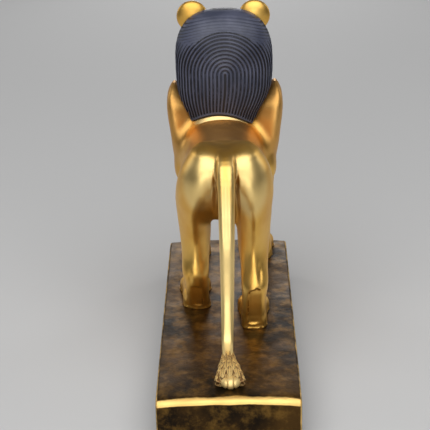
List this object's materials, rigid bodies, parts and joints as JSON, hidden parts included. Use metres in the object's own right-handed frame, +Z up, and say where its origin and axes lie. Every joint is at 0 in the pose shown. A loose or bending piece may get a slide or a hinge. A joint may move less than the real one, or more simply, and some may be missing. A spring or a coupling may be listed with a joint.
{
  "type": "lioness goddess statue",
  "caption": "Gilded striding lioness goddess in a black grooved wig with round ears, her long tail resting on a worn rectangular plinth.",
  "frame": {"origin": "middle of the plinth's flat underside", "axes": "+Z up, the lioness faces -Y and her tail lies towards +Y, +X towards her left"},
  "size_m": [0.08, 0.2204, 0.2029],
  "materials": {
    "gilding": "satin gold, brighter where rubbed",
    "wig_black": "satin black with a cool sheen in the grooves",
    "antiqued_plinth": "dark brown glaze mottled over gold, edges rubbed to bare gold"
  },
  "bodies": {
    "root": {"lioness": "gilding", "plinth": "antiqued_plinth"}
  },
  "joints": []
}
